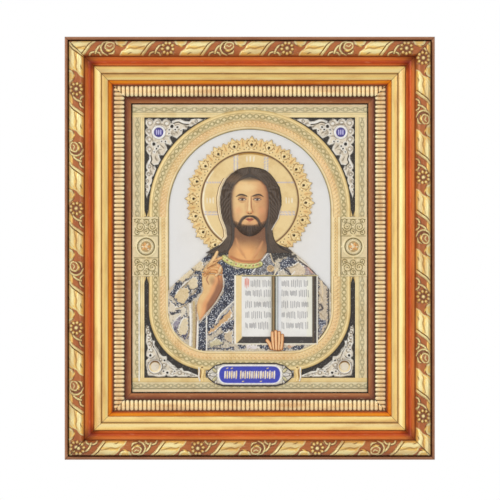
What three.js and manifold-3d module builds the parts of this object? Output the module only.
// A framed icon panel that hangs on a wall: four mitred lengths of gilt moulding around an embossed panel,
// with a backing board and a small saw-tooth hanger behind.
// Millimetres. The drawing plane is X right and Y up, with Z out of the wall; the last group stands it up,
// so that +Z is up, the front faces -Y and the wall is the plane Y = 0.

import * as THREE from "three";
import { mergeVertices } from "three/addons/utils/BufferGeometryUtils.js";
import Module from "manifold-3d";

const wasm = await Module();
wasm.setup();

// Outside of the frame.
const frameWidth = 231;
const frameHeight = 264;
const frameDepth = 30;
const touchGap = 0.3;
const mitreGap = 0.22;

// Bands of the moulding, each edge measured inwards from the outer edge.
const rimEdge = 2.6;
const ornamentEdge = 12;
const coveEdge = 18.3;
const cymaEdge = 26.9;
const filletEdge = 30.1;
const ribEdge = 37.5;
const sightEdge = 42;

// Heights of the moulding above the wall.
const rimHeight = 22;
const ornamentRise = 1.6;
const ornamentPeak = frameDepth - ornamentRise;
const ornamentMiddle = 7.5;
const ornamentFoot = 24.8;
const ornamentShoulder = 25.6;
const coveFloor = 17.6;
const coveLip = 20.6;
const cymaHeight = 21.3;
const ribGround = 13.3;
const ribRise = 1;
const slipHeight = 12.8;
const lipHeight = 9.9;
const lipUnder = 8.3;

// Repeats along the moulding.
const ornamentPitch = 37.2;
const ribPitch = 2.68;
const phaseTop = -6.9;
const phaseBottom = 2.1;
const phaseLeft = -5.4;
const phaseRight = 0;

// The panel in its rebate. Levels are heights above the wall.
const panelThickness = 3;
const panelLevel = lipUnder - touchGap;
const plateLevel = panelLevel + 1.2;
const bandLevel = plateLevel + 0.4;
const sightWidth = frameWidth - 2 * sightEdge;
const sightHeight = frameHeight - 2 * sightEdge;
const rebateWidth = frameWidth - 2 * ribEdge - 2 * touchGap;
const rebateHeight = frameHeight - 2 * ribEdge - 2 * touchGap;

// The arched window of the panel, measured from the middle of the frame.
const windowHalf = 50.5;
const archY = 23.7;
const windowBottom = -63.9;
const cornerRadius = 25.6;
const ringWidth = 12.7;
const borderX = 66;
const borderTop = 81.9;
const borderBottom = -81.1;
const slotTopEnd = 19.9;
const slotBottomEnd = -17.8;
const lowSpandrelEnd = 31.8;

// The halo and the figure.
const haloY = 29.7;
const haloInner = 30.6;
const haloOuter = 40.6;
const haloTeeth = 20;
const bodyLevel = panelLevel + 1;
const bookLevel = panelLevel + 1.7;
const handRise = 1.6;

// The back.
const boardThickness = 2.5;
const boardFront = panelLevel - panelThickness - touchGap;
const hangerWidth = 46;
const hangerDrop = 9;
const hangerThickness = 0.7;
const hangerY = 84;
const hangerTeeth = 11;
const rivetRadius = 1.8;
const mountInset = 19;

const gilt = { color: 0xe8c878, roughness: 0.32, metalness: 0.85 };
const gold = { color: 0xe1cda0, roughness: 0.4, metalness: 0.6 };
const fibreboard = { color: 0x8a6443, roughness: 0.85, metalness: 0 };
const steel = { color: 0xb4b6b8, roughness: 0.35, metalness: 1 };

// A closed geometry as a solid that can be joined and cut.
function solidOf(geometry) {
  const bare = geometry.index ? geometry.toNonIndexed() : geometry;
  bare.deleteAttribute("normal");
  bare.deleteAttribute("uv");
  const merged = mergeVertices(bare, 1e-4);
  return new wasm.Manifold(
    new wasm.Mesh({
      numProp: 3,
      vertProperties: merged.attributes.position.array,
      triVerts: new Uint32Array(merged.index.array),
    }),
  );
}

// A named mesh of a finished solid, with a material of its own.
function meshOf(name, solid, finish) {
  const made = solid.getMesh();
  const geometry = new THREE.BufferGeometry();
  geometry.setAttribute("position", new THREE.BufferAttribute(made.vertProperties, 3));
  geometry.setIndex(new THREE.BufferAttribute(made.triVerts, 1));
  geometry.computeVertexNormals();
  const mesh = new THREE.Mesh(geometry, new THREE.MeshStandardMaterial(finish));
  mesh.name = name;
  return mesh;
}

// All the solids as one.
function joined(solids) {
  return solids.reduce((whole, next) => whole.add(next));
}

// Points evenly spaced on an arc, both ends included.
function arc(x, y, radius, from, to, steps) {
  return Array.from({ length: steps + 1 }, (_, i) => {
    const angle = from + ((to - from) * i) / steps;
    return new THREE.Vector2(x + radius * Math.cos(angle), y + radius * Math.sin(angle));
  });
}

// Points on a smooth curve through a few named places.
function smooth(places, steps) {
  const curve = new THREE.SplineCurve(places.map(([x, y]) => new THREE.Vector2(x, y)));
  return curve.getPoints(steps);
}

// A straight-sided block with the given outline, between two heights.
function block(outline, low, high) {
  const shape = new THREE.Shape(outline);
  const geometry = new THREE.ExtrudeGeometry(shape, { depth: high - low, bevelEnabled: false });
  return solidOf(geometry.translate(0, 0, low));
}

// A rectangle as an outline, from its left, bottom, right and top.
function rectangle(left, bottom, right, top) {
  return [
    new THREE.Vector2(left, bottom),
    new THREE.Vector2(right, bottom),
    new THREE.Vector2(right, top),
    new THREE.Vector2(left, top),
  ];
}

// A closed skin over rings of points: neighbouring rings are joined, and the first and last are capped.
function loft(rings) {
  const size = rings[0].length;
  const positions = [];
  const push = (...points) => points.forEach((p) => positions.push(p.x, p.y, p.z));
  rings.slice(1).forEach((ring, i) => {
    const before = rings[i];
    for (let j = 0; j < size; j++) {
      const k = (j + 1) % size;
      push(before[j], before[k], ring[k]);
      push(before[j], ring[k], ring[j]);
    }
  });
  const last = rings[rings.length - 1];
  for (let j = 1; j + 1 < size; j++) {
    push(rings[0][0], rings[0][j + 1], rings[0][j]);
    push(last[0], last[j], last[j + 1]);
  }
  const geometry = new THREE.BufferGeometry();
  geometry.setAttribute("position", new THREE.Float32BufferAttribute(positions, 3));
  const solid = solidOf(geometry);
  return solid.volume() < 0 ? loft([...rings].reverse()) : solid;
}

// A raised ridge along a path: its edges die into the ground and its crest rises over it, most at the middle.
function ridge(path, halfWidth, rise, groundAt, blunt = 0.25) {
  const last = path.length - 1;
  return loft(
    path.map((p, i) => {
      const ahead = path[Math.min(i + 1, last)];
      const behind = path[Math.max(i - 1, 0)];
      const along = ahead.clone().sub(behind).normalize();
      const swell = blunt + (1 - blunt) * Math.sin((Math.PI * i) / last);
      const side = new THREE.Vector2(-along.y, along.x).multiplyScalar(halfWidth * swell);
      const left = p.clone().add(side);
      const right = p.clone().sub(side);
      return [
        new THREE.Vector3(left.x, left.y, groundAt(left) - 0.12),
        new THREE.Vector3(p.x, p.y, groundAt(p) + rise * swell),
        new THREE.Vector3(right.x, right.y, groundAt(right) - 0.12),
        new THREE.Vector3(p.x, p.y, groundAt(p) - 0.8),
      ];
    }),
  );
}

// A low point over an outline that lies on the ground: flat facets run from its edge up to one apex.
function peak(outline, apex, rise, groundAt) {
  const edge = outline.map((p) => new THREE.Vector3(p.x, p.y, groundAt(p) - 0.12));
  const top = new THREE.Vector3(apex.x, apex.y, groundAt(apex) + rise);
  const under = new THREE.Vector3(apex.x, apex.y, groundAt(apex) - 3.5);
  const positions = [];
  edge.forEach((before, i) => {
    const after = edge[(i + 1) % edge.length];
    [before, after, top, after, before, under].forEach((p) => positions.push(p.x, p.y, p.z));
  });
  const geometry = new THREE.BufferGeometry();
  geometry.setAttribute("position", new THREE.Float32BufferAttribute(positions, 3));
  return solidOf(geometry);
}

// Moulding

// The ground under the ornament: a crown with a broad flat top that falls off to the rim and to the cove.
const crown = [
  [rimEdge + 0.4, ornamentFoot],
  [4.4, ornamentPeak],
  [10.8, ornamentPeak],
  [ornamentEdge, ornamentShoulder],
];

// The height of the crown at a place inwards from the outer edge.
function crownHeight(inward) {
  const after = crown.findIndex(([u]) => u >= inward);
  const index = after < 0 ? crown.length - 1 : Math.max(after, 1);
  const [before, beforeHeight] = crown[index - 1];
  const [next, nextHeight] = crown[index];
  return beforeHeight + ((nextHeight - beforeHeight) * (inward - before)) / (next - before);
}

// The moulding's section as places inwards and above the wall.
function mouldingSection() {
  return [
    [0, 0],
    [0, rimHeight - 0.8],
    [0.8, rimHeight],
    [rimEdge - 0.6, rimHeight],
    [rimEdge, rimHeight - 1.2],
    ...crown,
    [12.9, 20.6],
    [14.2, 18.3],
    [15.8, coveFloor],
    [17.4, 18.4],
    [coveEdge, coveLip],
    [coveEdge + 0.2, cymaHeight],
    [20.6, cymaHeight - 0.2],
    [22.9, cymaHeight - 1.2],
    [23.2, cymaHeight - 1.9],
    [23.7, cymaHeight - 1.6],
    [25.5, cymaHeight - 2.6],
    [cymaEdge, cymaHeight - 3.5],
    [cymaEdge + 0.1, cymaHeight - 4],
    [filletEdge, ribGround + 0.3],
    [filletEdge + 0.1, ribGround],
    [ribEdge, ribGround],
    [ribEdge + 0.2, slipHeight],
    [39.6, slipHeight - 0.9],
    [sightEdge - 0.4, lipHeight + 0.5],
    [sightEdge, lipHeight],
    [sightEdge, lipUnder],
    [ribEdge, lipUnder],
    [ribEdge, 0],
  ];
}

// The plain moulding, square-ended, with its outer edge at the given reach from the middle of the frame.
function mouldingBar(reach, halfLength) {
  const outline = mouldingSection().map(([u, h]) => new THREE.Vector2(reach - u, h));
  const shape = new THREE.Shape(outline);
  const geometry = new THREE.ExtrudeGeometry(shape, { depth: 2 * halfLength, bevelEnabled: false });
  geometry.translate(0, 0, -halfLength);
  const turned = new THREE.Matrix4().set(0, 0, 1, 0, 1, 0, 0, 0, 0, 1, 0, 0, 0, 0, 0, 1);
  return solidOf(geometry.applyMatrix4(turned));
}

// A row of close ribs across their band, as one toothed strip.
function ribStrip(reach, halfLength) {
  const count = 2 * Math.ceil((halfLength - filletEdge) / ribPitch);
  const start = (-count * ribPitch) / 2;
  const outline = [new THREE.Vector2(start, ribGround - 1)];
  for (let i = 0; i < count; i++) {
    const valley = start + i * ribPitch;
    outline.push(new THREE.Vector2(valley, ribGround + 0.1));
    outline.push(new THREE.Vector2(valley + ribPitch / 2, ribGround + ribRise));
  }
  outline.push(new THREE.Vector2(-start, ribGround + 0.1));
  outline.push(new THREE.Vector2(-start, ribGround - 1));
  const shape = new THREE.Shape(outline);
  const depth = ribEdge - filletEdge - 0.5;
  const geometry = new THREE.ExtrudeGeometry(shape, { depth, bevelEnabled: false });
  geometry.rotateX(Math.PI / 2);
  return solidOf(geometry.translate(0, reach - filletEdge - 0.25, 0));
}

// A slanted leaf over the crown: two lobes with a groove between them, cut off at a slant at both ends.
function leaf(tip, reach) {
  const edges = [
    { inward: 3.1, from: 8.1, to: 22.6, rise: -0.2 },
    { inward: 5, from: 6, to: 20.6, rise: 1.2 },
    { inward: ornamentMiddle, from: 3.9, to: 18.3, rise: 0.3 },
    { inward: 10.1, from: 2.2, to: 16.2, rise: 1.2 },
    { inward: 11.8, from: 0, to: 14.2, rise: -0.2 },
  ];
  return loft(
    [0, 1].map((end) => {
      const place = (inward, from, to, height) =>
        new THREE.Vector3(tip + (end ? to : from), reach - inward, height);
      const skin = edges.map(({ inward, from, to, rise }) =>
        place(inward, from, to, crownHeight(inward) + rise),
      );
      return [...skin, place(ornamentMiddle, 3.9, 18.3, crownHeight(ornamentMiddle) - 4.5)];
    }),
  );
}

// A daisy: pointed petals that run up to one raised middle.
function daisy(middle, groundAt) {
  const petals = 8;
  const star = Array.from({ length: 2 * petals }, (_, i) => {
    const radius = i % 2 ? 2.2 : 4;
    const angle = (Math.PI * i) / petals;
    return new THREE.Vector2(radius * Math.cos(angle), radius * Math.sin(angle)).add(middle);
  });
  return [peak(star, middle, ornamentRise, groundAt)];
}

// A curled rose: an open crescent round a small slanted bud.
function rose(middle, groundAt) {
  const bud = [
    [-2, -1.3],
    [0.6, -1.5],
    [2.4, 0.7],
    [0, 1],
  ].map(([x, y]) => new THREE.Vector2(x, y).add(middle));
  const crescent = arc(middle.x, middle.y, 3.4, 0.25 * Math.PI, 1.55 * Math.PI, 3);
  return [ridge(crescent, 1.1, 1, groundAt, 0.3), peak(bud, middle, ornamentRise, groundAt)];
}

// The ornament of one rail: leaves, each followed by a flower on a footed stem and a scallop at the rim.
function ornament(reach, halfLength, phase) {
  const groundAt = (p) => crownHeight(reach - p.y);
  const pieces = [];
  const most = Math.ceil(halfLength / ornamentPitch) + 1;
  for (let k = -most; k <= most; k++) {
    const tip = phase + k * ornamentPitch;
    if (tip > halfLength - 4 || tip + ornamentPitch < 4 - halfLength) continue;
    const at = (along, inward) => new THREE.Vector2(tip + along, reach - inward);
    const stem = [at(18.4, 11), at(22.5, 10.2), at(25.8, 11), at(23.9, 9), at(27, 4.7), at(21.8, 8.6)];
    const scallop = [at(35, 4.3), at(38.3, 6), at(41.6, 4.3), at(38.3, 4.5)];
    pieces.push(leaf(tip, reach));
    pieces.push(peak(stem, at(22.9, 9.2), 1, groundAt));
    pieces.push(peak(scallop, at(38.3, 5.2), 0.8, groundAt));
    pieces.push(...(k % 2 ? rose : daisy)(at(30.2, ornamentMiddle), groundAt));
  }
  return pieces;
}

// One rail of the frame, cut at 45 degrees at both ends so that its neighbours meet it along the mitres.
function rail(name, reach, halfLength, phase, turn) {
  const whole = joined([
    mouldingBar(reach, halfLength),
    ribStrip(reach, halfLength),
    ...ornament(reach, halfLength, phase),
  ]);
  const longest = halfLength - mitreGap;
  const wedge = block(
    [
      new THREE.Vector2(-longest - 1, reach + 1),
      new THREE.Vector2(-longest + 60, reach - 60),
      new THREE.Vector2(longest - 60, reach - 60),
      new THREE.Vector2(longest + 1, reach + 1),
    ],
    -1,
    frameDepth + 5,
  );
  const mesh = meshOf(name, whole.intersect(wedge), gilt);
  mesh.rotation.z = turn;
  return mesh;
}

// Panel

// The window's outline, or one that runs parallel to it outside: an arch above and round corners below.
function windowOutline(outside) {
  const half = windowHalf + outside;
  const radius = cornerRadius + outside;
  const inner = windowHalf - cornerRadius;
  const low = windowBottom + cornerRadius;
  return [
    ...arc(0, archY, half, 0, Math.PI, 20),
    ...arc(-inner, low, radius, Math.PI, 1.5 * Math.PI, 5),
    ...arc(inner, low, radius, 1.5 * Math.PI, 2 * Math.PI, 5),
  ];
}

// A raised band that follows the window between two distances outside it.
function windowBand(from, to, low, high) {
  return block(windowOutline(to), low, high).subtract(block(windowOutline(from), low - 1, high + 1));
}

// The field of a spandrel: a corner box with the arched ring taken out, and a round end to its narrow slot.
function spandrel(side, top) {
  const outer = side * borderX;
  const inner = top ? 0 : side * lowSpandrelEnd;
  const left = Math.min(outer, inner);
  const right = Math.max(outer, inner);
  const low = top ? slotTopEnd : borderBottom;
  const high = top ? borderTop : slotBottomEnd;
  const box = block(rectangle(left, low, right, high), panelLevel, bandLevel + 2);
  return box.subtract(block(windowOutline(ringWidth), panelLevel - 1, bandLevel + 3));
}

// The silver corner: a lobed plate that fills most of a spandrel, with two scrolls and a dished round boss.
function filigree(side, top) {
  const flat = panelLevel + 0.5;
  const groundAt = () => flat;
  const flip = ([x, y]) => new THREE.Vector2(side * x, y);
  const down = top ? -1 : 1;
  const [cornerX, cornerY] = [borderX - 0.6, top ? borderTop - 0.6 : borderBottom + 0.6];
  const [wide, long] = top ? [34, 50] : [32, 38];
  const lobes = 6;
  const edge = Array.from({ length: 2 * lobes + 1 }, (_, i) => {
    const share = i / (2 * lobes);
    const bulge = i % 2 ? 1.2 : -0.3;
    const x = cornerX - wide * (1 - share) ** 2.2 - bulge * share;
    const y = cornerY + down * (long * share ** 2.2 + bulge * (1 - share));
    return [x, y];
  });
  const outline = [[cornerX, cornerY], ...edge].map(flip);
  const [bossX, bossY] = top ? [57.1, 72.5] : [58.9, -74];
  const bossRadius = top ? 4.2 : 3.9;
  const across = [[bossX - 5, bossY], [bossX - 9, cornerY + down * 4], [cornerX - 23, cornerY + down * 2]];
  const along = [[bossX, bossY + down * 5], [cornerX - 5, bossY + down * 12], [cornerX - 2, bossY + down * 23]];
  const scroll = (places) => {
    const path = smooth(places, 3).map((p) => new THREE.Vector2(side * p.x, p.y));
    return ridge(path, 1.3, 0.5, groundAt);
  };
  const round = (radius, steps) => {
    return arc(side * bossX, bossY, radius, 0, 2 * Math.PI * (1 - 1 / (steps + 1)), steps);
  };
  const plate = block(outline, panelLevel - 0.5, flat);
  const boss = block(round(bossRadius, 11), panelLevel, flat + 0.5);
  const dish = block(round(bossRadius - 1.2, 7), flat + 0.2, flat + 2);
  return joined([plate, scroll(across), scroll(along), boss]).subtract(dish);
}

// The halo: a flat disc inside a toothed ring, one long tooth and one short one in turn.
function halo() {
  const teeth = Array.from({ length: 4 * haloTeeth }, (_, i) => {
    const angle = Math.PI / 2 + (2 * Math.PI * i) / (4 * haloTeeth);
    const radius = haloOuter - [0, 2.6, 1, 2.6][i % 4];
    return new THREE.Vector2(radius * Math.cos(angle), haloY + radius * Math.sin(angle));
  });
  const circle = arc(0, haloY, haloInner, 0, (29 / 15) * Math.PI, 29);
  const ring = block(teeth, panelLevel - 1, panelLevel + 0.9);
  return ring.subtract(block(circle, panelLevel + 0.4, panelLevel + 3));
}

// The head: hair parted in the middle that falls to the shoulders, and a smooth oval face.
function head() {
  const hair = smooth(
    [
      [0, 50.8],
      [-13, 46.5],
      [-19, 34],
      [-18.4, 18],
      [-21.5, 5],
      [-19, -1],
      [-9, 2],
      [0, 4],
      [9, 2],
      [20, -2],
      [22.5, 4],
      [18.8, 18],
      [19, 34],
      [13, 46.5],
    ],
    20,
  );
  const face = new THREE.SphereGeometry(1, 16, 8).scale(12.2, 18.5, 1.5);
  return [block(hair, panelLevel - 1, panelLevel + 0.8), solidOf(face.translate(0, 26.5, panelLevel + 0.3))];
}

// The body in its mantle, with the main folds of the cloth as ridges.
function body() {
  const outline = [
    [-52, -66],
    [52, -66],
    [52, -27],
    [43.2, -17.9],
    [35.1, -8.6],
    [29.4, -3.6],
    [19.4, 3.3],
    [8, -5],
    [0, -7.5],
    [-8, -5],
    [-15.6, 5.2],
    [-23.1, -0.4],
    [-31.8, -8.6],
    [-45.3, -19.8],
    [-52, -27],
  ].map(([x, y]) => new THREE.Vector2(x, y));
  const groundAt = () => bodyLevel;
  const sleeves = [
    [[-19, 1], [-37, -20], [-38, -46], [-33, -66]],
    [[24, -1], [41, -18], [46, -42], [40, -66]],
    [[-12, -26], [-20, -42], [-26, -66]],
  ].map((places) => ridge(smooth(places, 4), 8, 0.9, groundAt, 0.7));
  const folds = [
    [[-16, 2], [-31, -11], [-46, -22]],
    [[-24, -8], [-36, -23], [-43, -42]],
    [[-30, -24], [-35, -38], [-42, -52]],
    [[-34, -36], [-36, -50], [-35, -62]],
    [[-11, -28], [-19, -40], [-30, -54]],
    [[20, 1], [33, -10], [45, -24]],
    [[15, -5], [24, -10], [36, -15]],
    [[45, -26], [47, -40], [44, -54]],
  ].map((places) => ridge(smooth(places, 3), 1.6, 1.5, groundAt, 0.4));
  const collar = ridge(arc(0.5, 2, 13.6, 1.22 * Math.PI, 1.78 * Math.PI, 5), 1.7, 0.5, groundAt, 0.8);
  return [block(outline, panelLevel - 1, bodyLevel), ...sleeves, ...folds, collar];
}

// The raised right hand, its fingers drawn up out of the palm, with the wrist below.
function blessingHand() {
  const groundAt = () => bodyLevel;
  const palm = smooth([[-28.5, -46], [-25.5, -32], [-23.5, -18], [-22.5, -9]], 4);
  const fingers = [
    [[-24, -14], [-23.5, -7.5], [-20.5, -2.2]],
    [[-22, -13], [-20.5, -8], [-17.6, -5.2]],
    [[-21.5, -20], [-18.5, -16.5], [-17.5, -13]],
  ];
  return [
    ridge(palm, 5, 1.6, groundAt, 0.6),
    ...fingers.map((places) => ridge(smooth(places, 2), 1.2, handRise, groundAt, 0.6)),
  ];
}

// The open book: its cover, two pages that fall to the middle, and the fingers that hold it from below.
function openBook() {
  const cover = block(rectangle(-10.1, -59.4, 41.9, -17.3), panelLevel - 1, bookLevel - 0.5);
  const page = (left, right, gutterLeft) => {
    const high = bookLevel + 0.2;
    const low = bookLevel - 0.3;
    const heights = gutterLeft ? [low, high] : [high, low];
    return loft(
      [-55.4, -17.6].map((y) => [
        new THREE.Vector3(left, y, panelLevel),
        new THREE.Vector3(right, y, panelLevel),
        new THREE.Vector3(right, y, heights[1]),
        new THREE.Vector3(left, y, heights[0]),
      ]),
    );
  };
  const groundAt = () => bookLevel - 0.5;
  const fingers = [10.4, 13.3, 16.3, 19.2].map((x, i) => {
    const top = -51.8 - 0.6 * Math.abs(i - 1.5);
    return ridge(smooth([[x, top], [x, top - 4.5], [x - 0.6, top - 9]], 3), 1.5, 1.1, groundAt, 0.7);
  });
  return [cover, page(-5.8, 14, false), page(17.6, 38.8, true), ...fingers];
}

// The small panel at the middle of each side of the border, with its round rosette.
function sidePanel(side) {
  const left = Math.min(side * 57.2, side * 72.2);
  const slab = block(rectangle(left, -16.7, left + 15, 18.3), panelLevel, bandLevel);
  const rosette = block(arc(side * 64.7, 0.8, 6.2, 0, (11 / 6) * Math.PI, 11), panelLevel, bandLevel + 0.3);
  const eye = block(arc(side * 64.7, 0.8, 2.9, 0, (7 / 4) * Math.PI, 7), bandLevel, bandLevel + 3);
  return joined([slab, rosette]).subtract(eye);
}

// The long title plate at the foot: a pointed oval with a sunk field.
function cartouche() {
  const middle = -79.1;
  const pointed = (half, tall, steps) => {
    const upper = Array.from({ length: steps }, (_, i) => {
      const share = -1 + (2 * i) / steps;
      return [half * share, tall * (1 - Math.abs(share) ** 2.4)];
    });
    const points = [...upper, ...upper.map(([x, y]) => [-x, -y])];
    return points.map(([x, y]) => new THREE.Vector2(x, middle + y)).reverse();
  };
  const plate = block(pointed(27.5, 7.4, 10), panelLevel, bandLevel + 0.2);
  return plate.subtract(block(pointed(19.8, 5, 8), bandLevel - 0.3, bandLevel + 3));
}

// The embossed panel in one piece.
function iconPanel() {
  const halfWidth = sightWidth / 2 - touchGap - 0.1;
  const halfHeight = sightHeight / 2 - touchGap - 0.1;
  const sides = [-1, 1];
  const slab = block(
    rectangle(-rebateWidth / 2, -rebateHeight / 2, rebateWidth / 2, rebateHeight / 2),
    panelLevel - panelThickness,
    panelLevel,
  );
  const openings = joined([
    block(windowOutline(0), panelLevel, bandLevel + 2),
    ...sides.flatMap((side) => [spandrel(side, true), spandrel(side, false)]),
  ]);
  const plate = block(
    rectangle(-halfWidth, -halfHeight, halfWidth, halfHeight),
    panelLevel - 0.5,
    plateLevel,
  ).subtract(openings);
  const figure = joined([halo(), ...head(), ...body(), ...blessingHand(), ...openBook()]);
  const within = block(windowOutline(0.2), panelLevel - 1, bandLevel + 4);
  return joined([
    slab,
    plate,
    windowBand(2, 5.8, panelLevel + 0.6, bandLevel),
    windowBand(6.6, 10.4, panelLevel + 0.6, bandLevel),
    figure.intersect(within),
    ...sides.flatMap((side) => [filigree(side, true), filigree(side, false), sidePanel(side)]),
    cartouche(),
  ]);
}

// Back

// The flat board that closes the rebate behind the panel.
function backingBoard() {
  return block(
    rectangle(-rebateWidth / 2, -rebateHeight / 2, rebateWidth / 2, rebateHeight / 2),
    boardFront - boardThickness,
    boardFront,
  );
}

// The hanger: a stamped strip whose middle stands off the board and is toothed along its lower edge.
function hanger() {
  const back = boardFront - boardThickness - touchGap;
  const half = hangerWidth / 2;
  const foot = 7;
  const ends = [-1, 1].map((side) => {
    const left = side < 0 ? -half : half - foot;
    return block(
      rectangle(left, hangerY - hangerDrop / 2, left + foot, hangerY + hangerDrop / 2),
      back - hangerThickness,
      back,
    );
  });
  const reach = half - foot + 0.6;
  const pitch = (2 * reach) / hangerTeeth;
  const lower = Array.from({ length: 2 * hangerTeeth + 1 }, (_, i) => {
    const drop = i % 2 ? 3.4 : 1.8;
    return new THREE.Vector2(-reach + (i * pitch) / 2, hangerY - drop);
  });
  const upper = [new THREE.Vector2(reach, hangerY + 3.6), new THREE.Vector2(-reach, hangerY + 3.6)];
  const bridge = block([...lower, ...upper], back - 2 * hangerThickness, back - hangerThickness + 0.2);
  return joined([...ends, bridge]);
}

// The flat head of a rivet on one end of the hanger.
function rivet(side) {
  const back = boardFront - boardThickness - 2 * touchGap - hangerThickness;
  const x = side * (hangerWidth / 2 - 3);
  return block(arc(x, hangerY, rivetRadius, 0, (11 / 6) * Math.PI, 11), back - 0.5, back);
}

const halfWide = frameWidth / 2;
const halfTall = frameHeight / 2;
const framed = new THREE.Group();
framed.add(
  rail("frame_rail_top", halfTall, halfWide, phaseTop, 0),
  rail("frame_rail_bottom", halfTall, halfWide, phaseBottom, Math.PI),
  rail("frame_rail_left", halfWide, halfTall, phaseLeft, Math.PI / 2),
  rail("frame_rail_right", halfWide, halfTall, phaseRight, -Math.PI / 2),
  meshOf("icon_panel", iconPanel(), gold),
  meshOf("backing_board", backingBoard(), fibreboard),
  meshOf("hanger", hanger(), steel),
  meshOf("hanger_rivet_left", rivet(-1), steel),
  meshOf("hanger_rivet_right", rivet(1), steel),
);
framed.rotation.x = Math.PI / 2;
framed.position.z = mountInset - halfTall;

const group = new THREE.Group();
group.add(framed);
export default group;
